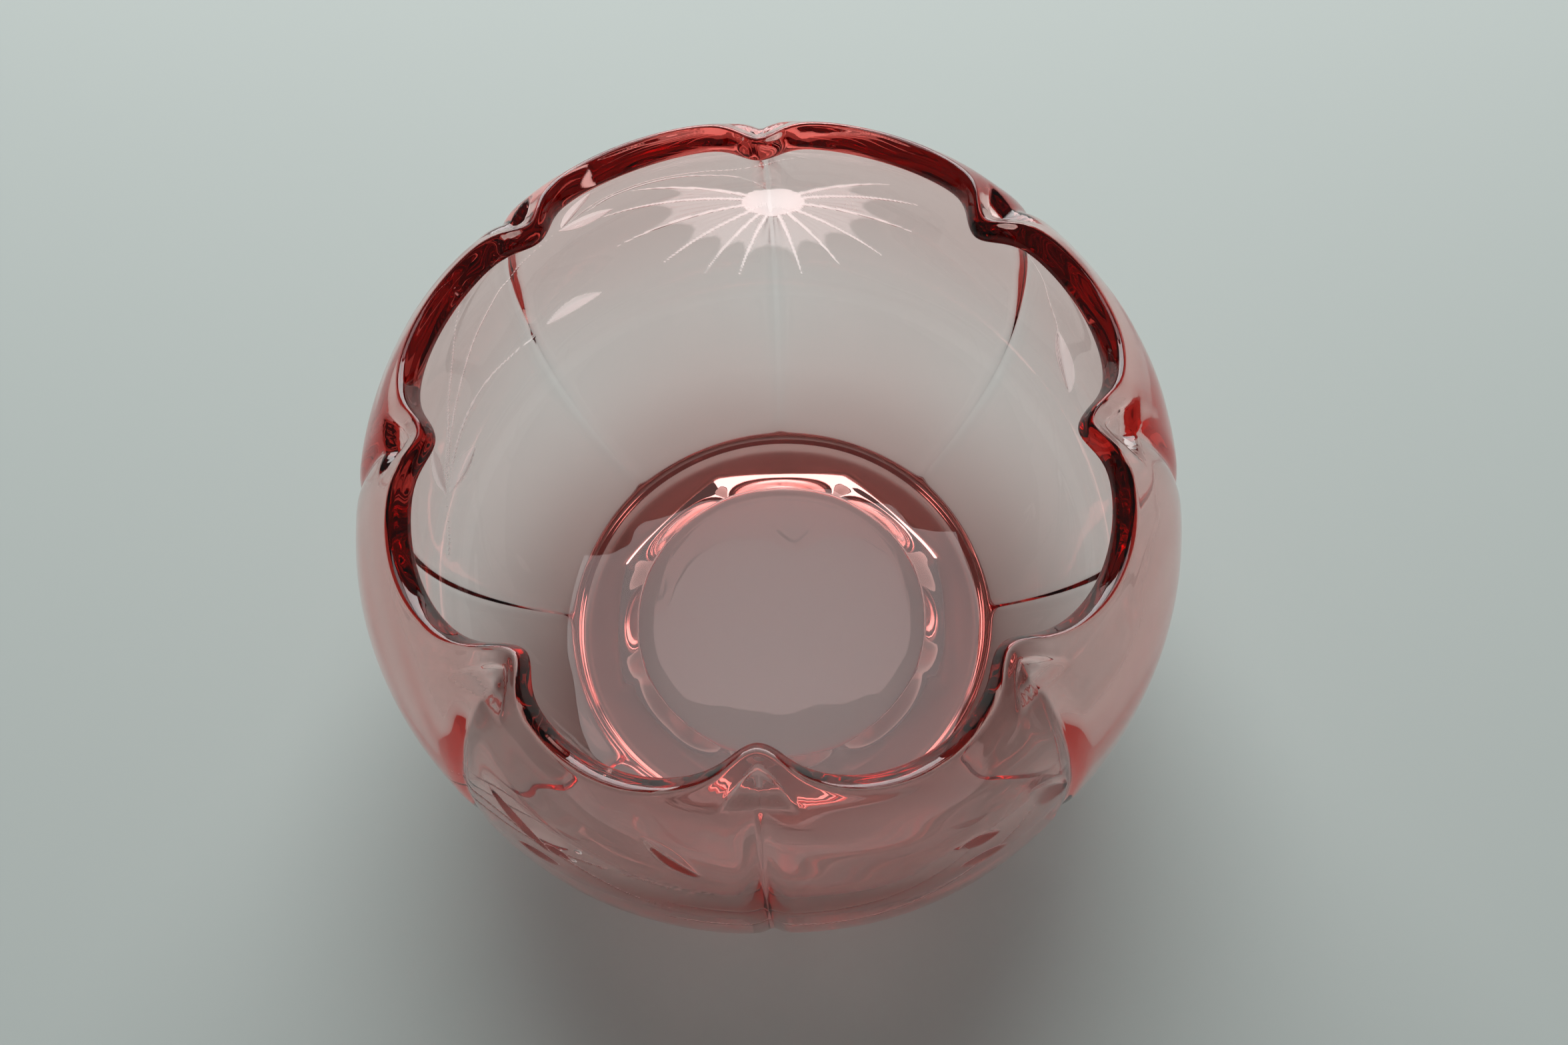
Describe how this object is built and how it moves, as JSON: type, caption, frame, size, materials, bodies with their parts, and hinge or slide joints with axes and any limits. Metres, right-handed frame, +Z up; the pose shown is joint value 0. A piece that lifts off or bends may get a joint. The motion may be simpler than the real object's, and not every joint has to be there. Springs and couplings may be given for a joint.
{
  "type": "art glass bowl",
  "caption": "Round incurved rose bowl in pale pink pressed glass with a scalloped rim, creased wall panels and a thick faceted foot ring.",
  "frame": {"origin": "centre of the face that the foot ring stands on", "axes": "+Z up along the bowl's axis out of the mouth; rim cusps and wall creases lie on +X, +Y and every 45 degrees between"},
  "size_m": [0.1634, 0.1634, 0.1082],
  "materials": {
    "pink_glass": "clear fire-polished pale pink glass, wheel-cut flowers and leaves left frosted",
    "foot_glass": "clear pressed pink glass, deeper in colour where it is thick"
  },
  "bodies": {
    "root": {"bowl_body": "pink_glass", "foot_ring": "foot_glass"}
  },
  "joints": []
}
